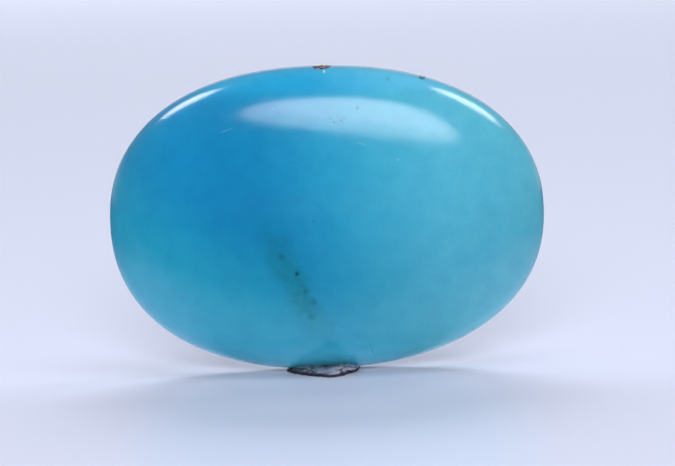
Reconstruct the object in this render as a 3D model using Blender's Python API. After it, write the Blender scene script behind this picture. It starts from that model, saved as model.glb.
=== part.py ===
# A polished oval cabochon of turquoise, standing on edge on the worn grey host rock left at its rim.
# Metres, +Z up. X runs along the oval, the dome faces -Y and the ground flat back faces +Y.

import math

import bmesh
import bpy
from mathutils import Vector, noise

MM = 0.001

# The polished stone
OVAL_WIDTH = 18.0 * MM
OVAL_HEIGHT = 12.53 * MM
DOME_RISE = 4.0 * MM
GIRDLE_BAND = 1.2 * MM
BACK_BEVEL = 0.5 * MM
FLOOR_GAP = 0.13 * MM  # between the floor and the oval's lowest point

# The dome is a true ellipse near its top. Its hand-cut rim is a little squarer and not quite even.
TOP_POWER = 2.0
RIM_POWER = 2.24
DOME_POWER = 0.56  # 0.5 is a half ellipsoid, and more is flatter towards the rim
UNEVEN_COS = 0.0055
UNEVEN_SIN = 0.0025
STEPS_ROUND = 108
DOME_RINGS = 26

# The worn foot of host rock: its underside's outline, as places along the oval and distances
# ahead of the girdle, walked from the left end along the front
FOOT_PLAN_MM = [
    (-1.58, 0.10),
    (-1.40, 0.78),
    (-1.05, 1.45),
    (-0.62, 1.98),
    (-0.12, 2.40),
    (0.22, 2.36),
    (0.56, 1.80),
    (0.88, 1.00),
    (1.20, 0.10),
    (1.22, -0.75),
    (0.70, -1.30),
    (-0.50, -1.42),
    (-1.25, -1.05),
]
FOOT_MOUND_MM = [  # heights, with the share of the plan that is left there
    (0.09, 0.95),
    (0.20, 0.80),
    (0.34, 0.58),
    (0.54, 0.34),
]
FOOT_CROWN_MM = (-0.08, 0.15)  # the place in plan that the mound narrows towards
FOOT_CUTS = 2  # extra corners in each side of the plan
FOOT_CRUMBLE = 0.09 * MM
FOOT_GRAIN = 0.42 * MM

# A second crumb, higher and to the right of the foot's front: along, ahead of the girdle, up
CRUMB_AT_MM = (0.47, 1.15, 0.34)
CRUMB_SIZE = Vector((0.54, 0.48, 0.22)) * MM
CRUMB_CRUMBLE = 0.07 * MM
CRUMB_GRAIN = 0.3 * MM

# Flecks of host rock in the upper rim: place along the oval, width, proud height
RIM_FLECKS_MM = [
    (0.02, 0.84, 0.075),
    (4.13, 0.34, 0.045),
]
FLECK_DEPTH = 0.5 * MM

STONE_COLOUR = (0.041, 0.356, 0.578, 1)
STONE_ROUGHNESS = 0.2
SHARP_ANGLE = math.radians(28)

SOLE = 0.01 * MM  # points under this are the foot's flat underside
GIRDLE_FRONT_Y = (DOME_RISE - GIRDLE_BAND - BACK_BEVEL) / 2  # where the dome meets the girdle
OVAL_CENTRE = Vector(
    (
        -OVAL_WIDTH / 2 * UNEVEN_COS,
        GIRDLE_FRONT_Y,
        FLOOR_GAP + OVAL_HEIGHT / 2 * (1 + UNEVEN_SIN),
    )
)


def clear_scene():
    for obj in list(bpy.data.objects):
        bpy.data.objects.remove(obj, do_unlink=True)


def new_object(name, bm):
    """A linked object of this name with the mesh that bm holds."""
    bmesh.ops.recalc_face_normals(bm, faces=bm.faces)
    bmesh.ops.triangulate(bm, faces=bm.faces)
    mesh = bpy.data.meshes.new(name)
    bm.to_mesh(mesh)
    bm.free()
    obj = bpy.data.objects.new(name, mesh)
    bpy.context.scene.collection.objects.link(obj)
    return obj


def rounded_power(value, power):
    return math.copysign(abs(value) ** power, value)


def oval_point(angle, share):
    """Where the oval lies at this angle, on the ring at this share of the way to the rim."""
    power = 2 / (TOP_POWER + (RIM_POWER - TOP_POWER) * share**2)
    uneven = 1 + share * (UNEVEN_COS * math.cos(3 * angle) + UNEVEN_SIN * math.sin(3 * angle))
    reach = share * uneven
    x = OVAL_WIDTH / 2 * reach * rounded_power(math.cos(angle), power)
    z = OVAL_HEIGHT / 2 * reach * rounded_power(math.sin(angle), power)
    return x, z


def stone_profile():
    """The section from the dome's top to the back's edge, as (share of the way to the rim, y)."""
    points = []
    for ring in range(DOME_RINGS + 1):
        share = math.sin(ring / DOME_RINGS * math.pi / 2)
        points.append((share, -DOME_RISE * max(0, 1 - share**2) ** DOME_POWER))
    back_share = 1 - BACK_BEVEL / (OVAL_HEIGHT / 2)
    points.append((1, GIRDLE_BAND / 2))
    points.append((1, GIRDLE_BAND))
    points.append((1 - (1 - back_share) * 0.3, GIRDLE_BAND + BACK_BEVEL * 0.55))
    points.append((back_share, GIRDLE_BAND + BACK_BEVEL))
    return points


def polished_stone():
    """The section is spun into a round button, and each of its points then moves out to the oval."""
    bm = bmesh.new()
    section = [bm.verts.new((share, y, 0)) for share, y in stone_profile()]
    edges = [bm.edges.new(pair) for pair in zip(section, section[1:])]
    bmesh.ops.spin(
        bm,
        geom=section + edges,
        cent=(0, 0, 0),
        axis=(0, 1, 0),
        angle=2 * math.pi,
        steps=STEPS_ROUND,
    )
    bmesh.ops.remove_doubles(bm, verts=bm.verts, dist=1e-5)
    back_edge = [edge for edge in bm.edges if edge.is_boundary]
    bmesh.ops.contextual_create(bm, geom=back_edge)
    for vert in bm.verts:
        share = math.hypot(vert.co.x, vert.co.z)
        vert.co.x, vert.co.z = oval_point(math.atan2(vert.co.z, vert.co.x), share)
    stone = new_object("turquoise_cabochon", bm)
    stone.location = OVAL_CENTRE
    return stone


def crumble(verts, size, grain):
    """Pushes each point about by up to size, in lumps a grain across. The floor side stays flat."""
    for vert in verts:
        at = vert.co / grain
        push = Vector([noise.noise(at + Vector((0, 0, apart))) for apart in (0, 31, 67)]) * size
        if vert.co.z < SOLE:
            push.z = 0
        vert.co += push


def foot_place(along_mm, ahead_mm, up=0.0):
    """The point at this place along the oval, this far ahead of the girdle and this high."""
    return Vector((along_mm * MM, GIRDLE_FRONT_Y - ahead_mm * MM, up))


def rock_foot():
    """The plan is raised in layers that narrow towards the crown, and the mound is crumbled."""
    bm = bmesh.new()
    plan = [bm.verts.new(foot_place(along, ahead)) for along, ahead in FOOT_PLAN_MM]
    bm.faces.new(plan)
    bmesh.ops.subdivide_edges(bm, edges=bm.edges, cuts=FOOT_CUTS)
    crown = foot_place(*FOOT_CROWN_MM)
    top = bm.faces[:]
    below = 1
    for height_mm, share in FOOT_MOUND_MM:
        raised = bmesh.ops.extrude_face_region(bm, geom=top)["geom"]
        if below < 1:
            bmesh.ops.delete(bm, geom=top, context="FACES_ONLY")
        top = [item for item in raised if isinstance(item, bmesh.types.BMFace)]
        for vert in {vert for face in top for vert in face.verts}:
            vert.co = crown + (vert.co - crown) * share / below
            vert.co.z = height_mm * MM
        below = share
    crumble(bm.verts, FOOT_CRUMBLE, FOOT_GRAIN)
    return new_object("rock_foot", bm)


def rock_lump(name, centre, size, amount):
    """A rough little lump of host rock, to be fused into the stone."""
    bm = bmesh.new()
    bmesh.ops.create_icosphere(bm, subdivisions=2, radius=1)
    bmesh.ops.scale(bm, vec=size, verts=bm.verts)
    bmesh.ops.translate(bm, vec=centre, verts=bm.verts)
    crumble(bm.verts, amount, CRUMB_GRAIN)
    return new_object(name, bm)


def rock_crumb():
    along, ahead, up = CRUMB_AT_MM
    return rock_lump("rock_crumb", foot_place(along, ahead, up * MM), CRUMB_SIZE, CRUMB_CRUMBLE)


def rim_fleck(name, along, width, proud):
    """A flat fleck set in the upper rim, at the front of the girdle."""
    x, z = oval_point(math.acos(along / (OVAL_WIDTH / 2)), 1)
    centre = OVAL_CENTRE + Vector((x, 0, z - proud))
    return rock_lump(name, centre, Vector((width / 2, FLECK_DEPTH, 2 * proud)), proud / 2)


def fuse(stone, lump):
    """Joins the lump to the stone, and keeps it as a guide that isn't part of the model."""
    lump.hide_render = True
    lump.display_type = "WIRE"
    join = stone.modifiers.new(f"fuse {lump.name}", "BOOLEAN")
    join.operation = "UNION"
    join.object = lump


def paint(obj, name, colour, roughness):
    material = bpy.data.materials.new(name)
    material.use_nodes = True
    shader = material.node_tree.nodes["Principled BSDF"]
    shader.inputs["Base Color"].default_value = colour
    shader.inputs["Roughness"].default_value = roughness
    shader.inputs["Metallic"].default_value = 0
    obj.data.materials.append(material)


def main():
    clear_scene()
    stone = polished_stone()
    fuse(stone, rock_foot())
    fuse(stone, rock_crumb())
    for number, (along, width, proud) in enumerate(RIM_FLECKS_MM, start=1):
        fuse(stone, rim_fleck(f"rim_fleck_{number}", along * MM, width * MM, proud * MM))
    paint(stone, "turquoise", STONE_COLOUR, STONE_ROUGHNESS)
    stone.data.shade_smooth()
    stone.data.set_sharp_from_angle(angle=SHARP_ANGLE)


main()
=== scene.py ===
import math

import bpy
from mathutils import Matrix, Vector, noise


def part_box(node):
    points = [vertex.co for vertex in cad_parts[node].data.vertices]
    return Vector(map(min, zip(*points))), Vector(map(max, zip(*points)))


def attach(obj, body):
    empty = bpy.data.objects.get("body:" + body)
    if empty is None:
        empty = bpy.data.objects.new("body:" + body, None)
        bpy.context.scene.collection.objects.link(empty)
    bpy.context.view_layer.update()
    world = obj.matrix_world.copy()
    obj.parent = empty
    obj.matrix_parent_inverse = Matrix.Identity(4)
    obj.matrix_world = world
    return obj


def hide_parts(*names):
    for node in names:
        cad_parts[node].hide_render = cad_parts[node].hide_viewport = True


# a polished turquoise cabochon that stands on edge on its worn foot of host rock
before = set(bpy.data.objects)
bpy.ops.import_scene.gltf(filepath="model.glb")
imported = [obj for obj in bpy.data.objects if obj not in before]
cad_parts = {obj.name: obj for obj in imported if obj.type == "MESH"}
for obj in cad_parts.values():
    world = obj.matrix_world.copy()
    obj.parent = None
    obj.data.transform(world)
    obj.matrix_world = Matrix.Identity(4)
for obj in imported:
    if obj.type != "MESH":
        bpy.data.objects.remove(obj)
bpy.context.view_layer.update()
print("stage: the frame is loaded")

# everything below is modelled in millimetres and brought to metres at the end
toMetres = 0.001
boxLow, boxHigh = [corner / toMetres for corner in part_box("turquoise_cabochon")]


def deselectAll():
    bpy.ops.object.select_all(action="DESELECT")


def pickOut(piece):
    deselectAll()
    piece.select_set(True)
    bpy.context.view_layer.objects.active = piece


# into edit mode, with only those points selected that pass the test
def editPoints(piece, test):
    bpy.ops.object.mode_set(mode="EDIT")
    bpy.ops.mesh.select_mode(type="VERT")
    bpy.ops.mesh.select_all(action="DESELECT")
    bpy.ops.object.mode_set(mode="OBJECT")
    for point in piece.data.vertices:
        point.select = test(point.co)
    bpy.ops.object.mode_set(mode="EDIT")


# colours are written as 0 to 255, as a paint programme shows them
def paint(red, green, blue):
    levels = []
    for value in (red / 255, green / 255, blue / 255):
        levels.append(value / 12.92 if value <= 0.04045 else ((value + 0.055) / 1.055) ** 2.4)
    return (*levels, 1)


# the polished stone
stone = {
    "ovalHeight": 12.53,
    "domeRise": 4.0,
    "girdleBand": 1.2,
    "backBevel": 0.5,
    "liftOffFloor": 0.13,
    "topPower": 2.0,  # 2 is a true ellipse
    "rimPower": 2.24,  # and more is squarer
    "domePower": 1.12,  # 1 is a round dome, more is flatter towards the rim
    "unevenCos": 0.0055,
    "unevenSin": 0.0025,
    "fineness": 8,
    "girdleRows": 3,
    "bevelSteps": ((0.22, 0.42), (0.5, 0.72), (0.78, 0.9), (1, 1)),  # shares inwards and backwards
    "wander": ((2.6, 0.0035), (0.8, 0.0009)),  # size and height of the hand polish's waves
    "wearStart": 0.4,  # waves and pits begin this far ahead of the rim
    "pitReach": 1.4,  # in radii, which is as far as a ragged edge can reach
    "pitGrain": 9,
    "pitRaggedness": 0.3,
    "backMargin": 0.02,  # the ground finish begins this far behind the girdle
    "smoothAngle": 34,  # degrees, and sharper edges stay sharp
}
ovalWidth = boxHigh.x - boxLow.x
rimY = boxHigh.y - stone["girdleBand"] - stone["backBevel"]
stoneMiddle = Vector(
    (
        -ovalWidth / 2 * stone["unevenCos"],
        rimY,
        stone["liftOffFloor"] + stone["ovalHeight"] / 2 * (1 + stone["unevenSin"]),
    )
)

# small pits in the polish: along, up, radius, depth
pits = [
    (0.28, 10.65, 0.06, 0.010),
    (0.40, 10.49, 0.07, 0.012),
    (0.53, 10.73, 0.05, 0.010),
    (0.69, 10.56, 0.06, 0.012),
    (0.81, 10.64, 0.05, 0.009),
    (1.38, 11.04, 0.06, 0.012),
    (1.35, 9.68, 0.05, 0.010),
    (1.67, 9.55, 0.06, 0.010),
    (2.95, 8.94, 0.06, 0.010),
    (-1.28, 4.46, 0.16, 0.040),
    (-1.06, 4.26, 0.10, 0.012),
    (-1.88, 5.19, 0.12, 0.012),
    (-0.94, 3.71, 0.12, 0.016),
    (-0.63, 3.27, 0.14, 0.014),
    (-0.74, 2.63, 0.14, 0.012),
    (-0.51, 6.60, 0.08, 0.010),
]


def roundedPower(value, power):
    return math.copysign(abs(value) ** power, value)


# the oval at this angle, on the ring at this share of the way to the rim
def ovalPlace(angle, share):
    power = 2 / (stone["topPower"] + (stone["rimPower"] - stone["topPower"]) * share**2)
    uneven = stone["unevenCos"] * math.cos(3 * angle) + stone["unevenSin"] * math.sin(3 * angle)
    reach = share * (1 + share * uneven)
    along = ovalWidth / 2 * reach * roundedPower(math.cos(angle), power)
    up = stone["ovalHeight"] / 2 * reach * roundedPower(math.sin(angle), power)
    return along, up


# the half ball is drawn out to the oval dome
def shapeDome(piece):
    for point in piece.data.vertices:
        share = math.hypot(point.co.x, point.co.z)
        along, up = ovalPlace(math.atan2(point.co.z, point.co.x), min(share, 1))
        rise = stone["domeRise"] * abs(min(point.co.y, 0)) ** stone["domePower"]
        point.co = stoneMiddle + Vector((along, -rise, up))


# the polish wanders a little and has a few pits, so that highlights on it aren't perfect
def wearDome(piece):
    pushes = []
    for point in piece.data.vertices:
        ahead = rimY - point.co.y
        ease = min(1, max(0, ahead / stone["wearStart"]))
        height = sum(noise.noise(point.co / size) * deep for size, deep in stone["wander"]) * ease
        if ahead > stone["wearStart"]:
            for along, up, radius, deep in pits:
                off = math.hypot(point.co.x - along, point.co.z - up) / radius
                if off < stone["pitReach"]:
                    off *= 1 + stone["pitRaggedness"] * noise.noise(point.co * stone["pitGrain"])
                    height -= deep * max(0, 1 - off**2) ** 1.5
        pushes.append(point.normal * height)
    for point, push in zip(piece.data.vertices, pushes):
        point.co += push


def makeStone():
    deselectAll()
    bpy.ops.mesh.primitive_ico_sphere_add(
        subdivisions=stone["fineness"], radius=1, location=(0, 0, 0), rotation=(math.pi / 2, 0, 0)
    )
    piece = bpy.context.object
    piece.name = "turquoise_stone"
    bpy.ops.object.transform_apply(location=True, rotation=True, scale=True)
    bpy.ops.object.mode_set(mode="EDIT")
    bpy.ops.mesh.bisect(plane_co=(0, 0, 0), plane_no=(0, 1, 0), clear_outer=True)
    bpy.ops.object.mode_set(mode="OBJECT")
    shapeDome(piece)
    wearDome(piece)

    # the rim is drawn back into the girdle, then in over the bevel, and the back is closed
    editPoints(piece, lambda place: abs(place.y - rimY) < 0.0005)
    for row in range(stone["girdleRows"]):
        step = stone["girdleBand"] / stone["girdleRows"]
        bpy.ops.mesh.extrude_region_move(TRANSFORM_OT_translate={"value": (0, step, 0)})
    fullShare, lastIn, lastBack = stone["backBevel"] / (stone["ovalHeight"] / 2), 0, 0
    for inwards, backwards in stone["bevelSteps"]:
        back = stone["backBevel"] * (backwards - lastBack)
        bpy.ops.mesh.extrude_region_move(TRANSFORM_OT_translate={"value": (0, back, 0)})
        shrink = (1 - fullShare * inwards) / (1 - fullShare * lastIn)
        bpy.ops.transform.resize(value=(shrink, 1, shrink), center_override=stoneMiddle)
        lastIn, lastBack = inwards, backwards
    bpy.ops.mesh.edge_face_add()
    bpy.ops.mesh.select_all(action="SELECT")
    bpy.ops.mesh.normals_make_consistent(inside=False)
    bpy.ops.object.mode_set(mode="OBJECT")
    return piece


# the worn foot of host rock, walked round its underside as (along, ahead of the girdle)
foot = {
    "plan": (
        (-1.90, 0.10),
        (-1.70, 0.74),
        (-1.24, 1.42),
        (-0.62, 1.98),
        (-0.12, 2.46),
        (0.22, 2.42),
        (0.60, 1.84),
        (0.94, 1.06),
        (1.20, 0.10),
        (1.22, -0.75),
        (0.70, -1.30),
        (-0.50, -1.42),
        (-1.25, -1.05),
    ),
    # heights, with the share of the plan that is left there; it is undercut at the floor
    "layers": ((0.0, 0.92), (0.07, 0.96), (0.11, 1.0), (0.19, 0.86), (0.27, 0.62), (0.38, 0.36)),
    "crown": (-0.08, 0.15),
    "cuts": 3,
    "voxel": 0.04,
    "lumps": (0.42, 0.10),  # size, height
    "facets": (0.16, 0.06),
    "chips": 0.07,  # the share of the mesh that is left, in flat chips
}

# the second crumb, a slab up on the right of the foot's front
crumb = {
    "place": (0.50, 1.20, 0.27),
    "size": (0.60, 0.50, 0.12),
    "fineness": 4,
    "voxel": 0.03,
    "lumps": (0.3, 0.06),
    "facets": (0.13, 0.04),
    "chips": 0.12,
}

# flecks of host rock in the upper rim: place along the oval, width, and how far each stands proud
flecks = [
    {"along": 0.0, "width": 0.82, "proud": 0.045, "rock": "brownHostRock"},
    {"along": 3.76, "width": 0.34, "proud": 0.022, "rock": "paleHostRock"},
]
fleckShape = {"depth": 0.5, "grain": 0.14, "fineness": 4}

# points lower than this lie flat on the floor, before and after the rock is chipped
sole = {"before": 0.01, "after": 0.012}


# a smooth random push at this place, in lumps of this size
def pushAt(place, size):
    at = place / size
    return Vector([noise.noise(at + Vector((0, 0, apart))) for apart in (0, 31, 67)])


# pushes the points about in lumps and facets, and leaves the flat underside flat
def roughen(piece, look):
    for point in piece.data.vertices:
        push = Vector()
        for size, height in (look["lumps"], look["facets"]):
            push += pushAt(point.co, size) * height
        if point.co.z < sole["before"]:
            push.z = 0
            point.co.z = 0
        push.z = max(push.z, -point.co.z / 2)
        point.co += push


# leaves few enough faces that the rock looks chipped
def chip(piece, look):
    fewer = piece.modifiers.new("chips", "DECIMATE")
    fewer.ratio = look["chips"]
    bpy.ops.object.modifier_apply(modifier=fewer.name)
    for point in piece.data.vertices:
        if point.co.z < sole["after"]:
            point.co.z = 0


def cutToTriangles(piece):
    pickOut(piece)
    bpy.ops.object.mode_set(mode="EDIT")
    bpy.ops.mesh.select_all(action="SELECT")
    bpy.ops.mesh.quads_convert_to_tris(quad_method="BEAUTY", ngon_method="BEAUTY")
    bpy.ops.object.mode_set(mode="OBJECT")


def remesh(piece, voxel):
    finer = piece.modifiers.new("even mesh", "REMESH")
    finer.mode = "VOXEL"
    finer.voxel_size = voxel
    bpy.ops.object.modifier_apply(modifier=finer.name)


def makeFoot():
    deselectAll()
    bpy.ops.mesh.primitive_circle_add(vertices=len(foot["plan"]), radius=1, fill_type="NGON")
    piece = bpy.context.object
    piece.name = "rock_foot"
    for point, (along, ahead) in zip(piece.data.vertices, foot["plan"]):
        point.co = (along, rimY - ahead, 0)
    crownAlong, crownAhead = foot["crown"]
    crown = Vector((crownAlong, rimY - crownAhead, 0))
    bpy.ops.object.mode_set(mode="EDIT")
    bpy.ops.mesh.select_all(action="SELECT")
    bpy.ops.mesh.subdivide(number_cuts=foot["cuts"])
    lastHeight, lastShare = 0, 1
    for height, share in foot["layers"]:
        if height > 0:
            rise = (0, 0, height - lastHeight)
            bpy.ops.mesh.extrude_region_move(TRANSFORM_OT_translate={"value": rise})
        shrink = share / lastShare
        bpy.ops.transform.resize(value=(shrink, shrink, 1), center_override=crown)
        lastHeight, lastShare = height, share
    bpy.ops.mesh.select_all(action="SELECT")
    bpy.ops.mesh.normals_make_consistent(inside=False)
    bpy.ops.object.mode_set(mode="OBJECT")
    remesh(piece, foot["voxel"])
    roughen(piece, foot)
    chip(piece, foot)
    return piece


def makeCrumb():
    along, ahead, up = crumb["place"]
    deselectAll()
    bpy.ops.mesh.primitive_ico_sphere_add(
        subdivisions=crumb["fineness"], radius=1, location=(along, rimY - ahead, up), scale=crumb["size"]
    )
    piece = bpy.context.object
    piece.name = "rock_crumb"
    bpy.ops.object.transform_apply(location=True, rotation=True, scale=True)
    remesh(piece, crumb["voxel"])
    roughen(piece, crumb)
    chip(piece, crumb)
    return piece


def makeFleck(fleck, number):
    along, up = ovalPlace(math.acos(fleck["along"] / (ovalWidth / 2)), 1)
    place = stoneMiddle + Vector((along, 0, up - fleck["proud"]))
    size = (fleck["width"] / 2, fleckShape["depth"], 2 * fleck["proud"])
    deselectAll()
    bpy.ops.mesh.primitive_ico_sphere_add(
        subdivisions=fleckShape["fineness"], radius=1, location=place, scale=size
    )
    piece = bpy.context.object
    piece.name = f"rim_fleck_{number}"
    bpy.ops.object.transform_apply(location=True, rotation=True, scale=True)
    for point in piece.data.vertices:
        point.co += pushAt(point.co, fleckShape["grain"]) * fleck["proud"]
    return piece


# grows the lump into the stone, so that the two are one closed piece
def growTogether(piece, lump):
    pickOut(piece)
    join = piece.modifiers.new("grown together", "BOOLEAN")
    join.operation = "UNION"
    join.solver = "MANIFOLD"
    join.object = lump
    bpy.ops.object.modifier_apply(modifier=join.name)
    bpy.data.objects.remove(lump, do_unlink=True)


# short hands for shader nodes
def put(tree, kind, values=None, links=None, **settings):
    node = tree.nodes.new("ShaderNode" + kind)
    for key, value in settings.items():
        setattr(node, key, value)
    for key, value in (values or {}).items():
        node.inputs[key].default_value = value
    for key, socket in (links or {}).items():
        tree.links.new(socket, node.inputs[key])
    return node


def calc(tree, operation, *parts):
    node = put(tree, "Math", operation=operation)
    for slot, part in zip(node.inputs, parts):
        if isinstance(part, (int, float)):
            slot.default_value = part
        else:
            tree.links.new(part, slot)
    return node.outputs[0]


# 0 below the first value, 1 above the second, or the other way round, with a soft step between
def fade(tree, value, start, end):
    limits = {"From Min": start, "From Max": end}
    node = put(tree, "MapRange", limits, {"Value": value}, interpolation_type="SMOOTHSTEP")
    return node.outputs["Result"]


def mixed(tree, factor, first, second, mode="MIX"):
    node = put(tree, "Mix", data_type="RGBA", blend_type=mode)
    for slot, part in ((0, factor), (6, first), (7, second)):
        if isinstance(part, (int, float, tuple)):
            node.inputs[slot].default_value = part
        else:
            tree.links.new(part, node.inputs[slot])
    return node.outputs[2]


def cloud(tree, place, scale, detail=2.0, roughness=0.5, distortion=0.0):
    values = {"Scale": scale, "Detail": detail, "Roughness": roughness, "Distortion": distortion}
    return put(tree, "TexNoise", values, {"Vector": place}).outputs["Fac"]


def ramp(tree, value, stops):
    node = put(tree, "ValToRGB", links={"Fac": value})
    band = node.color_ramp
    while len(band.elements) < len(stops):
        band.elements.new(0.5)
    for element, (at, colour) in zip(band.elements, stops):
        element.position = at
        element.color = colour
    return node.outputs["Color"]


# the place on the object in millimetres
def millimetres(tree):
    source = put(tree, "TexCoord").outputs["Object"]
    scale = (1 / toMetres,) * 3
    return put(tree, "Mapping", {"Scale": scale}, {"Vector": source}, vector_type="POINT").outputs[0]


# moves the middle of a mark to the origin, turns it about Y and squeezes it
def placed(tree, place, middle, turn=0.0, size=(1, 1, 1)):
    values = {"Location": middle, "Rotation": (0, turn, 0), "Scale": size}
    return put(tree, "Mapping", values, {"Vector": place}, vector_type="TEXTURE").outputs[0]


def newGroup(name, inputs, outputs):
    group = bpy.data.node_groups.new(name, "ShaderNodeTree")
    for label, kind, value in inputs:
        group.interface.new_socket(name=label, in_out="INPUT", socket_type=kind).default_value = value
    for label, kind in outputs:
        group.interface.new_socket(name=label, in_out="OUTPUT", socket_type=kind)
    entry = group.nodes.new("NodeGroupInput")
    leave = group.nodes.new("NodeGroupOutput")
    return group, entry, leave


def useGroup(tree, group, values=None):
    node = tree.nodes.new("ShaderNodeGroup")
    node.node_tree = group
    for key, value in (values or {}).items():
        node.inputs[key].default_value = value
    return node


def newMaterial(name, values):
    material = bpy.data.materials.new(name)
    material.use_nodes = True
    tree = material.node_tree
    shader = tree.nodes["Principled BSDF"]
    for key, value in values.items():
        shader.inputs[key].default_value = value
    return material, tree, shader


# leads colour, roughness and relief to the shader; the relief's depth is in millimetres
def connect(tree, shader, colour, rough, height, relief):
    bump = put(tree, "Bump", {"Strength": 1.0, "Distance": relief * toMetres}, {"Height": height})
    tree.links.new(colour, shader.inputs["Base Color"])
    tree.links.new(rough, shader.inputs["Roughness"])
    tree.links.new(bump.outputs[0], shader.inputs["Normal"])


# the colour of the turquoise through the whole stone, with its olive vein and its specks
turquoise = {
    "cloudiness": (2.4, 0.8),  # how far the broad and the fine clouds shift the zones
    "zones": (  # along from the middle in millimetres
        (-9.0, paint(24, 158, 196)),
        (-6.2, paint(20, 155, 203)),
        (-4.1, paint(19, 148, 196)),
        (-2.7, paint(20, 149, 195)),
        (-1.2, paint(34, 159, 200)),
        (0.3, paint(49, 171, 206)),
        (2.2, paint(72, 184, 211)),
        (5.0, paint(95, 194, 216)),
        (9.0, paint(93, 185, 202)),
    ),
    "lowLeft": paint(49, 186, 212),
    "lowRight": paint(67, 187, 202),
    "lowLean": 0.57,  # how far the paler low zone climbs to the left
    "lowFrom": 5.2,
    "lowTo": 0.2,
    "topLeft": paint(28, 174, 219),
    "topRight": paint(92, 198, 230),
    # painted light from below, for the bottom edge near the middle
    "paintedUnderLight": paint(94, 212, 236),
    "mottle": paint(236, 246, 250),
    "fineMottling": 0.6,
    "veinMiddle": (-1.45, 0, 4.25),
    "veinTurn": -0.455,
    "veinSize": (0.62, 6.0, 2.6),
    "veinBend": 1.6,
    "veinStrength": 0.45,
    "veinTint": paint(232, 232, 218),
    "veinColour": paint(16, 112, 120),
    "speckColour": paint(10, 58, 66),
    "scatterStrength": 0.12,
    "specks": (  # along, up, radius, strength
        (-1.28, 4.46, 0.12, 0.85),
        (-1.88, 5.19, 0.17, 0.40),
        (-0.94, 3.71, 0.17, 0.42),
        (-0.63, 3.27, 0.19, 0.36),
        (-0.74, 2.63, 0.22, 0.30),
        (-0.51, 6.60, 0.09, 0.22),
        (1.38, 11.04, 0.08, 0.50),
        (0.28, 10.65, 0.06, 0.45),
        (0.40, 10.49, 0.07, 0.50),
        (0.53, 10.73, 0.06, 0.40),
        (0.69, 10.56, 0.07, 0.50),
        (0.81, 10.64, 0.05, 0.40),
        (2.67, 12.12, 0.12, 0.22),
        (4.55, 11.54, 0.10, 0.22),
    ),
    # the colour of the painted glints: the pale specks and the pale scratches
    "glintColour": paint(206, 236, 244),
    "groundColour": paint(176, 214, 222),
    "paintedGlints": (
        (-2.08, 11.11, 0.045, 0.4),
        (0.06, 12.50, 0.07, 0.8),
        (2.95, 8.94, 0.06, 0.25),
    ),
    "hairlines": (  # along, up, turn, width, length, strength, and whether it is dark
        (1.72, 0.92, -0.237, 0.028, 0.50, 0.36, True),
        (-3.95, 10.30, 1.27, 0.022, 0.36, 0.16, False),
        (1.51, 9.62, 1.96, 0.026, 0.26, 0.22, False),
    ),
}


# small round marks at the given places, seen from the front
def dots(group, place, marks):
    flat = put(group, "Mapping", {"Scale": (1, 0, 1)}, {"Vector": place}).outputs[0]
    crumble = cloud(group, place, 9.0, 2.0)
    total = 0.0
    for along, up, radius, strength in marks:
        apart = put(group, "VectorMath", {1: (along, 0, up)}, {0: flat}, operation="DISTANCE")
        rough = calc(group, "MULTIPLY_ADD", crumble, radius, apart.outputs["Value"])
        mark = calc(group, "MULTIPLY", fade(group, rough, radius * 1.7, radius * 0.5), strength)
        total = calc(group, "MAXIMUM", mark, total)
    return total


# thin crooked lines; the dark ones are cracks, and the pale ones are scratches drawn as painted glints
def hairlines(group, place, marks, dark):
    crooked = calc(group, "MULTIPLY", calc(group, "SUBTRACT", cloud(group, place, 3.0, 3.0), 0.5), 3.5)
    total = 0.0
    for along, up, turn, width, length, strength, isDark in marks:
        if isDark == dark:
            mark = placed(group, place, (along, 0, up), turn, (width, 6.0, length))
            side = put(group, "SeparateXYZ", links={"Vector": mark})
            across = calc(group, "ABSOLUTE", calc(group, "ADD", side.outputs["X"], crooked))
            reach = calc(group, "ABSOLUTE", side.outputs["Z"])
            line = calc(group, "MULTIPLY", fade(group, across, 1.2, 0.4), fade(group, reach, 1.0, 0.4))
            total = calc(group, "MAXIMUM", calc(group, "MULTIPLY", line, strength), total)
    return total


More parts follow.
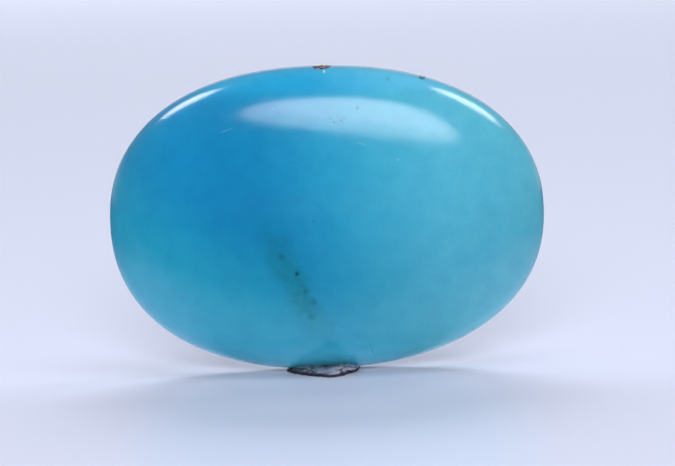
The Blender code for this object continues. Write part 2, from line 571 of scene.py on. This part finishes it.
def turquoiseGroup():
    look = turquoise
    group, entry, leave = newGroup(
        "turquoiseColour",
        (("Paleness", "NodeSocketFloat", 0.0),),
        (("Color", "NodeSocketColor"), ("Vein", "NodeSocketFloat"), ("Relief", "NodeSocketFloat")),
    )
    place = millimetres(group)

    # zones from azure on the left to pale turquoise on the right, with cloudy edges
    sides = put(group, "SeparateXYZ", links={"Vector": place})
    warp = calc(group, "SUBTRACT", cloud(group, place, 0.22, 3.0, 0.55, 0.6), 0.5)
    finer = calc(group, "SUBTRACT", cloud(group, place, 0.9, 4.0, 0.6), 0.5)
    broadShift, fineShift = look["cloudiness"]
    shifted = calc(group, "MULTIPLY_ADD", warp, broadShift, sides.outputs["X"])
    shifted = calc(group, "MULTIPLY_ADD", finer, fineShift, shifted)
    first, last = look["zones"][0][0], look["zones"][-1][0]
    limits = {"From Min": first, "From Max": last}
    spread = put(group, "MapRange", limits, {"Value": shifted}).outputs["Result"]
    stops = [((at - first) / (last - first), shade) for at, shade in look["zones"]]
    colour = ramp(group, spread, stops)
    leftwards = calc(group, "MINIMUM", shifted, 0.0)
    height = calc(group, "MULTIPLY_ADD", leftwards, look["lowLean"], sides.outputs["Z"])
    low = mixed(group, fade(group, shifted, 0.0, 5.0), look["lowLeft"], look["lowRight"])
    colour = mixed(group, fade(group, height, look["lowFrom"], look["lowTo"]), colour, low)
    top = mixed(group, fade(group, shifted, -1.5, 3.5), look["topLeft"], look["topRight"])
    colour = mixed(group, fade(group, sides.outputs["Z"], 11.2, 12.1), colour, top)
    # the bottom edge near the middle is painted paler, as painted light from below
    besideMiddle = fade(group, calc(group, "ABSOLUTE", sides.outputs["X"]), 4.0, 0.8)
    paintedUnderLight = calc(group, "MULTIPLY", fade(group, sides.outputs["Z"], 1.6, 0.4), besideMiddle)
    colour = mixed(group, paintedUnderLight, colour, look["paintedUnderLight"])

    # mottling
    mottle = fade(group, cloud(group, place, 1.3, 5.0, 0.62), 0.33, 0.70)
    colour = mixed(group, mottle, colour, look["mottle"], "MULTIPLY")
    grain = fade(group, cloud(group, place, 6.5, 4.0, 0.6), 0.45, 0.75)
    grain = calc(group, "MULTIPLY", grain, look["fineMottling"])
    colour = mixed(group, grain, colour, look["mottle"], "MULTIPLY")

    # the olive vein, a soft stain with darker patches in it
    veinPlace = placed(group, place, look["veinMiddle"], look["veinTurn"], look["veinSize"])
    bent = calc(group, "SUBTRACT", cloud(group, place, 1.1, 2.0), 0.5)
    bend = calc(group, "MULTIPLY", bent, look["veinBend"])
    bentPlace = put(group, "CombineXYZ", links={"X": bend}).outputs[0]
    veinPlace = put(group, "VectorMath", operation="ADD", links={0: veinPlace, 1: bentPlace}).outputs[0]
    distance = put(group, "VectorMath", operation="LENGTH", links={0: veinPlace}).outputs["Value"]
    stain = fade(group, distance, 1.5, 0.0)
    colour = mixed(group, stain, colour, look["veinTint"], "MULTIPLY")
    patches = fade(group, cloud(group, place, 2.3, 4.0, 0.65), 0.45, 0.64)
    vein = calc(group, "MULTIPLY", stain, patches)
    veinShare = calc(group, "MULTIPLY", vein, look["veinStrength"])
    colour = mixed(group, veinShare, colour, look["veinColour"])

    # single dark specks and a scatter of faint ones, then pale specks that are painted glints
    speck = dots(group, place, look["specks"])
    cells = put(group, "TexVoronoi", {"Scale": 0.95}, {"Vector": place}).outputs["Distance"]
    scattered = calc(group, "MULTIPLY", fade(group, cells, 0.07, 0.03), look["scatterStrength"])
    colour = mixed(group, speck, colour, look["speckColour"])
    colour = mixed(group, scattered, colour, look["veinColour"])
    colour = mixed(group, dots(group, place, look["paintedGlints"]), colour, look["glintColour"])

    # the hairline crack at the foot, and two scratches drawn pale as painted glints
    crack = hairlines(group, place, look["hairlines"], True)
    colour = mixed(group, crack, colour, look["veinColour"])
    colour = mixed(group, hairlines(group, place, look["hairlines"], False), colour, look["glintColour"])

    # a ground face scatters light, so the same colour looks paler there
    colour = mixed(group, entry.outputs["Paleness"], colour, look["groundColour"])
    relief = calc(group, "SUBTRACT", 1.0, calc(group, "MAXIMUM", crack, calc(group, "MULTIPLY", vein, 0.3)))
    group.links.new(colour, leave.inputs["Color"])
    group.links.new(vein, leave.inputs["Vein"])
    group.links.new(relief, leave.inputs["Relief"])
    return group


# fine lines left by polishing or grinding, which cross each other at these turns
grinding = {"turns": (0.3, 1.25, 2.2), "detail": 3.0, "roughness": 0.7, "edge": (0.30, 0.42)}


def scratchGroup():
    group, entry, leave = newGroup(
        "grindingLines",
        (("Fineness", "NodeSocketFloat", 4.0), ("Stretch", "NodeSocketFloat", 14.0)),
        (("Height", "NodeSocketFloat"), ("Mask", "NodeSocketFloat")),
    )
    place = millimetres(group)
    shorter = calc(group, "DIVIDE", 1.0, entry.outputs["Stretch"])
    squeeze = put(group, "CombineXYZ", {"X": 1.0, "Y": 1.0}, {"Z": shorter}).outputs[0]
    texture = {"Detail": grinding["detail"], "Roughness": grinding["roughness"]}
    heights = []
    for turn in grinding["turns"]:
        turned = put(group, "VectorRotate", {"Angle": turn}, {"Vector": place}, rotation_type="Y_AXIS")
        ends = {0: turned.outputs[0], 1: squeeze}
        drawn = put(group, "VectorMath", links=ends, operation="MULTIPLY").outputs[0]
        links = {"Vector": drawn, "Scale": entry.outputs["Fineness"]}
        lines = put(group, "TexNoise", texture, links)
        heights.append(fade(group, lines.outputs["Fac"], *grinding["edge"]))
    height = calc(group, "MULTIPLY", calc(group, "MULTIPLY", heights[0], heights[1]), heights[2])
    group.links.new(height, leave.inputs["Height"])
    group.links.new(calc(group, "SUBTRACT", 1.0, height), leave.inputs["Mask"])
    return group


# the polished face: its gloss, how deep light sinks in, and what lines, smears and the vein add
polish = {
    "shader": {
        "IOR": 1.61,
        "Subsurface Weight": 0.5,
        "Subsurface Radius": (0.35, 0.8, 1.0),
        "Subsurface Scale": 0.0009,
    },
    "lines": {"Fineness": 5.0, "Stretch": 18.0},
    "roughness": 0.13,
    "smearRoughness": 0.05,
    "lineRoughness": 0.06,
    "veinRoughness": 0.12,
    "peelHeight": 0.25,
    "lineHeight": 0.10,
    "relief": 0.008,
}


def polishedTurquoise(colourGroup, scratches):
    material, tree, shader = newMaterial("polishedTurquoise", polish["shader"])
    body = useGroup(tree, colourGroup)
    lines = useGroup(tree, scratches, polish["lines"])
    place = millimetres(tree)
    smear = fade(tree, cloud(tree, place, 0.8, 4.0, 0.6), 0.3, 0.75)
    rough = calc(tree, "MULTIPLY_ADD", smear, polish["smearRoughness"], polish["roughness"])
    rough = calc(tree, "MULTIPLY_ADD", lines.outputs["Mask"], polish["lineRoughness"], rough)
    rough = calc(tree, "MULTIPLY_ADD", body.outputs["Vein"], polish["veinRoughness"], rough)
    peel = cloud(tree, place, 5.0, 3.0, 0.6)
    height = calc(tree, "MULTIPLY_ADD", peel, polish["peelHeight"], body.outputs["Relief"])
    height = calc(tree, "MULTIPLY_ADD", lines.outputs["Height"], polish["lineHeight"], height)
    connect(tree, shader, body.outputs["Color"], rough, height, polish["relief"])
    return material


# the ground back: paler and duller, with stains and coarser lines
groundBack = {
    "shader": {"IOR": 1.61},
    "body": {"Paleness": 0.22},
    "lines": {"Fineness": 2.2, "Stretch": 9.0},
    "stainColour": paint(112, 104, 98),
    "stainStrength": 0.7,
    "lineColour": paint(198, 226, 230),
    "lineStrength": 0.18,
    "lineHeight": 0.5,
    "roughness": (0.2, 0.42),  # how much it varies, and the least
    "relief": 0.012,
}


def groundTurquoise(colourGroup, scratches):
    material, tree, shader = newMaterial("groundTurquoise", groundBack["shader"])
    body = useGroup(tree, colourGroup, groundBack["body"])
    lines = useGroup(tree, scratches, groundBack["lines"])
    place = millimetres(tree)
    stains = fade(tree, cloud(tree, place, 0.55, 6.0, 0.7, 0.8), 0.60, 0.68)
    stained = calc(tree, "MULTIPLY", stains, groundBack["stainStrength"])
    colour = mixed(tree, stained, body.outputs["Color"], groundBack["stainColour"])
    lined = calc(tree, "MULTIPLY", lines.outputs["Mask"], groundBack["lineStrength"])
    colour = mixed(tree, lined, colour, groundBack["lineColour"])
    rough = calc(tree, "MULTIPLY_ADD", cloud(tree, place, 3.0, 4.0), *groundBack["roughness"])
    pitted = fade(tree, cloud(tree, place, 4.0, 5.0, 0.7), 0.32, 0.45)
    height = calc(tree, "MULTIPLY_ADD", lines.outputs["Height"], groundBack["lineHeight"], pitted)
    connect(tree, shader, colour, rough, height, groundBack["relief"])
    return material


# host rock: pale and mid plates with crevices painted dark as shade, and painted contact shade
# between the two heights given, which only the foot reaches
rockLooks = {
    "greyHostRock": {
        "pale": paint(206, 206, 216),
        "mid": paint(158, 157, 174),
        "dark": paint(34, 30, 46),
        "tones": (0.30, 0.42, 0.56),
        "contactShadeTop": 0.15,
        "contactShadeBottom": 0.08,
    },
    "brownHostRock": {
        "pale": paint(196, 164, 140),
        "mid": paint(92, 76, 66),
        "dark": paint(38, 32, 34),
        "tones": (0.34, 0.50, 0.64),
        "contactShadeTop": -0.1,
        "contactShadeBottom": -0.2,
    },
    "paleHostRock": {
        "pale": paint(176, 198, 202),
        "mid": paint(128, 158, 166),
        "dark": paint(84, 112, 122),
        "tones": (0.30, 0.50, 0.66),
        "contactShadeTop": -0.1,
        "contactShadeBottom": -0.2,
    },
}

# what all three kinds of host rock share
rockSurface = {
    "shader": {"IOR": 1.5},
    "sparkle": 0.4,
    "creviceWidth": 0.075,
    "creviceShadeStrength": 0.75,
    "leftDarkening": 0.6,
    "leftDarkeningFrom": 0.0,
    "leftDarkeningTo": -1.2,
    "paintedContactShade": 0.95,
    "roughness": (0.4, 0.42),  # how much it varies, and the least
    "relief": 0.03,
}


def hostRock(name):
    look = rockLooks[name]
    surface = rockSurface
    material, tree, shader = newMaterial(name, surface["shader"])
    place = millimetres(tree)
    tone = cloud(tree, place, 2.6, 6.0, 0.7)
    shades = (look["dark"], look["mid"], look["pale"])
    colour = ramp(tree, tone, list(zip(look["tones"], shades)))
    sparkle = fade(tree, cloud(tree, place, 14.0, 3.0, 0.6), 0.60, 0.72)
    colour = mixed(tree, calc(tree, "MULTIPLY", sparkle, surface["sparkle"]), colour, look["pale"])

    # crevices between the plates, cut into the relief and painted dark as shade in them
    wobble = put(tree, "TexNoise", {"Scale": 2.2, "Detail": 3.0}, {"Vector": place}).outputs["Color"]
    bent = put(tree, "VectorMath", {1: (0.5, 0.5, 0.3)}, {0: wobble}, operation="MULTIPLY").outputs[0]
    bent = put(tree, "VectorMath", operation="ADD", links={0: place, 1: bent}).outputs[0]
    flatter = put(tree, "Mapping", {"Scale": (0.85, 0.85, 2.6)}, {"Vector": bent}).outputs[0]
    edge = put(tree, "TexVoronoi", {"Scale": 1.0}, {"Vector": flatter}, feature="DISTANCE_TO_EDGE")
    crevice = fade(tree, edge.outputs["Distance"], surface["creviceWidth"], 0.0)
    paintedCreviceShade = calc(tree, "MULTIPLY", crevice, surface["creviceShadeStrength"])
    colour = mixed(tree, paintedCreviceShade, colour, look["dark"])

    # it is darker towards the left, and painted contact shade darkens it where it meets the floor
    sides = put(tree, "SeparateXYZ", links={"Vector": place})
    leftwards = calc(tree, "MULTIPLY_ADD", tone, 0.8, sides.outputs["X"])
    darkerLeft = fade(tree, leftwards, surface["leftDarkeningFrom"], surface["leftDarkeningTo"])
    darkerLeft = calc(tree, "MULTIPLY", darkerLeft, surface["leftDarkening"])
    colour = mixed(tree, darkerLeft, colour, look["dark"])
    paintedContactShade = calc(tree, "MULTIPLY_ADD", tone, -0.05, sides.outputs["Z"])
    paintedContactShade = fade(tree, paintedContactShade, look["contactShadeTop"], look["contactShadeBottom"])
    colour = mixed(tree, calc(tree, "MULTIPLY", paintedContactShade, surface["paintedContactShade"]), colour, look["dark"])
    rough = calc(tree, "MULTIPLY_ADD", tone, *surface["roughness"])
    height = calc(tree, "SUBTRACT", cloud(tree, place, 9.0, 6.0, 0.7), crevice)
    connect(tree, shader, colour, rough, height, surface["relief"])
    return material


# every lump has the same list of finishes as the stone, and takes one of them all over
def finish(piece, finishes, number):
    for material in finishes:
        piece.data.materials.append(material)
    for face in piece.data.polygons:
        face.material_index = number


def buildStone():
    colourGroup = turquoiseGroup()
    scratches = scratchGroup()
    finishes = [
        polishedTurquoise(colourGroup, scratches),
        groundTurquoise(colourGroup, scratches),
        hostRock("greyHostRock"),
        hostRock("brownHostRock"),
        hostRock("paleHostRock"),
    ]
    polished, ground, grey = 0, 1, 2
    finishNumbers = {material.name: number for number, material in enumerate(finishes)}
    piece = makeStone()
    cutToTriangles(piece)
    finish(piece, finishes, polished)
    backStart = rimY + stone["girdleBand"] + stone["backMargin"]
    for face in piece.data.polygons:
        if face.center.y > backStart:
            face.material_index = ground
    print("stage: the stone is shaped")
    lumps = [(makeFoot(), grey), (makeCrumb(), grey)]
    for number, fleck in enumerate(flecks, start=1):
        lumps.append((makeFleck(fleck, number), finishNumbers[fleck["rock"]]))
    for lump, rock in lumps:
        cutToTriangles(lump)
        finish(lump, finishes, rock)
        growTogether(piece, lump)
    print("stage: the host rock is grown on")
    pickOut(piece)
    bpy.ops.object.shade_smooth_by_angle(angle=math.radians(stone["smoothAngle"]))
    for face in piece.data.polygons:
        if face.material_index >= grey:
            face.use_smooth = False
    piece.scale = (toMetres,) * 3
    bpy.ops.object.transform_apply(location=True, rotation=True, scale=True)
    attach(piece, "root")
    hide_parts("turquoise_cabochon")


# the photograph's view, in millimetres and degrees
view = {
    "rise": 5.0,
    "roll": 1.7,
    "distance": 155.0,
    "middle": (0, 0, 6.455),
    "middlePixel": (327.0, 218.5),
    "pixelsPerMillimetre": 24.277,
    "picture": (675, 466),
    "sensor": 36,
}


def setCamera():
    rise, roll = math.radians(view["rise"]), math.radians(view["roll"])
    back = Vector((0, -math.cos(rise), math.sin(rise)))
    level = Vector((1, 0, 0))
    upright = back.cross(level)
    across = level * math.cos(roll) - upright * math.sin(roll)
    upwards = level * math.sin(roll) + upright * math.cos(roll)
    width, height = view["picture"]
    pixelAcross, pixelDown = view["middlePixel"]
    scale = view["pixelsPerMillimetre"]
    aim = Vector(view["middle"])
    aim += across * (width / 2 - pixelAcross) / scale + upwards * (pixelDown - height / 2) / scale
    deselectAll()
    bpy.ops.object.camera_add()
    camera = bpy.context.object
    turn = Matrix((across, upwards, back)).transposed()
    camera.matrix_world = Matrix.Translation((aim + back * view["distance"]) * toMetres) @ turn.to_4x4()
    camera.data.sensor_width = view["sensor"]
    camera.data.lens = view["sensor"] * view["distance"] / (width / scale)
    camera.data.clip_start = 0.005
    bpy.context.scene.camera = camera


# soft lights: where each stands as seen from the stone, which way its long side runs, how far off it
# is, the length and width of its oval in metres, its strength, whether the polish mirrors it, its
# colour where it isn't white, and whether it lights the paper alone
lampAim = (0, 0, 0.006)
lamps = {
    "softboxFront": {
        "towards": (0.164, -0.389, 0.906),
        "longSide": (0.953, -0.212, -0.215),
        "distance": 0.5,
        "size": (0.565, 0.28),
        "strength": 3.85,
        "mirrored": True,
        "colour": (0.93, 0.94, 1.0),
    },
    "softboxFrontCore": {
        "towards": (0.19, -0.33, 0.925),
        "longSide": (0.953, -0.212, -0.215),
        "distance": 0.51,
        "size": (0.42, 0.18),
        "strength": 1.6,
        "mirrored": True,
        "colour": (0.93, 0.94, 1.0),
    },
    "softboxLeft": {
        "towards": (-0.445, 0.525, 0.726),
        "longSide": (0.90, 0.20, 0.38),
        "distance": 0.6,
        "size": (0.20, 0.15),
        "strength": 6.5,
        "mirrored": True,
    },
    "softboxRight": {
        "towards": (0.515, 0.475, 0.712),
        "longSide": (0.835, -0.317, -0.449),
        "distance": 0.6,
        "size": (0.25, 0.16),
        "strength": 5.6,
        "mirrored": True,
    },
    "fill": {
        "towards": (0.10, -0.985, 0.14),
        "longSide": (1, 0, 0),
        "distance": 0.5,
        "size": (0.7, 0.13),
        "strength": 3.6,
        "mirrored": False,
    },
    "paperFront": {
        "towards": (0, -0.96, 0.27),
        "longSide": (1, 0, 0),
        "distance": 0.6,
        "size": (0.22, 0.16),
        "strength": 110.0,
        "mirrored": False,
        "paperOnly": True,
    },
    "paperBehind": {
        "towards": (0, 0.84, 0.54),
        "longSide": (1, 0, 0),
        "distance": 1.2,
        "size": (0.7, 0.4),
        "strength": 25.0,
        "mirrored": False,
        "paperOnly": True,
    },
}

# the paper that it stands on, a little darker in front, where the camera keeps some light off,
# and whose shine on the stone dies away in front and to the sides as it would in a dim room
floorLook = {
    "size": 6.0,
    "colour": paint(162, 167, 184),
    "frontColour": paint(154, 158, 174),
    "darkerFrom": -2.0,
    "darkerTo": -11.0,
    "roughness": 0.36,
    "shineFrom": 0.2,
    "shineTo": 8.0,
    "asideFrom": 4.0,
    "asideTo": 38.0,
    "asideShare": 0.85,
}

# the room is bright behind the stone, most of all low down, and dim in front of it
room = {
    "colour": paint(232, 234, 246),
    "behind": 0.32,
    "inFront": 0.10,
    "lowBehind": 0.35,
    "lowTop": 0.30,
    "seen": 0.82,  # what the camera itself sees of it
}


def setLights(paper):
    paperOnly = bpy.data.collections.new("paperOnly")
    paperOnly.objects.link(paper)
    for name, lamp in lamps.items():
        place = Vector(lamp["towards"]).normalized() * lamp["distance"]
        facing = (place - Vector(lampAim)).normalized()
        longSide = Vector(lamp["longSide"])
        longSide = (longSide - facing * longSide.dot(facing)).normalized()
        deselectAll()
        bpy.ops.object.light_add(type="AREA")
        light = bpy.context.object
        light.name = name
        turn = Matrix((longSide, facing.cross(longSide), facing)).transposed()
        light.matrix_world = Matrix.Translation(place) @ turn.to_4x4()
        length, width = lamp["size"]
        light.data.shape = "ELLIPSE"
        light.data.size, light.data.size_y = length, width
        light.data.energy = lamp["strength"] * length * width * math.pi * math.pi / 4
        light.data.color = lamp.get("colour", (1, 1, 1))
        light.visible_glossy = lamp["mirrored"]
        if lamp.get("paperOnly"):
            light.light_linking.receiver_collection = paperOnly
    world = bpy.data.worlds.new("softRoom")
    world.use_nodes = True
    tree = world.node_tree
    facing = put(tree, "SeparateXYZ", links={"Vector": put(tree, "TexCoord").outputs["Generated"]})
    limits = {"From Min": -0.6, "From Max": 0.7, "To Min": room["inFront"], "To Max": room["behind"]}
    glow = put(tree, "MapRange", limits, {"Value": facing.outputs["Y"]})
    low = fade(tree, facing.outputs["Z"], room["lowTop"], room["lowTop"] / 3)
    low = calc(tree, "MULTIPLY", low, fade(tree, facing.outputs["Y"], 0.3, 0.9))
    glow = calc(tree, "MULTIPLY_ADD", low, room["lowBehind"], glow.outputs["Result"])
    seen = put(tree, "LightPath").outputs["Is Camera Ray"]
    strength = put(tree, "Mix", {3: room["seen"]}, {0: seen, 2: glow}, data_type="FLOAT")
    background = tree.nodes["Background"]
    background.inputs["Color"].default_value = room["colour"]
    tree.links.new(strength.outputs[0], background.inputs["Strength"])
    bpy.context.scene.world = world


def setFloor():
    deselectAll()
    bpy.ops.mesh.primitive_plane_add(size=floorLook["size"], location=(0, 0, 0))
    floor = bpy.context.object
    floor.name = "floor"
    material, tree, shader = newMaterial("palePaper", {"Roughness": floorLook["roughness"]})
    sides = put(tree, "SeparateXYZ", links={"Vector": millimetres(tree)})
    forward = sides.outputs["Y"]
    darker = fade(tree, forward, floorLook["darkerFrom"], floorLook["darkerTo"])
    paper = mixed(tree, darker, floorLook["colour"], floorLook["frontColour"])
    tree.links.new(paper, shader.inputs["Base Color"])
    far = fade(tree, forward, -floorLook["shineFrom"], -floorLook["shineTo"])
    aside = calc(tree, "ABSOLUTE", sides.outputs["X"])
    aside = fade(tree, aside, floorLook["asideFrom"], floorLook["asideTo"])
    aside = calc(tree, "MULTIPLY", aside, floorLook["asideShare"])
    far = calc(tree, "MAXIMUM", far, aside)
    hidden = calc(tree, "MULTIPLY", far, put(tree, "LightPath").outputs["Is Glossy Ray"])
    dim = put(tree, "Emission", {"Color": (0, 0, 0, 1), "Strength": 0.0})
    both = put(tree, "MixShader", links={0: hidden, 1: shader.outputs[0], 2: dim.outputs[0]})
    tree.links.new(both.outputs[0], tree.nodes["Material Output"].inputs["Surface"])
    floor.data.materials.append(material)
    return floor


buildStone()
setCamera()
setLights(setFloor())
bpy.context.scene.view_settings.view_transform = "Standard"
bpy.context.view_layer.update()
print("stage: camera, lights and floor are set")
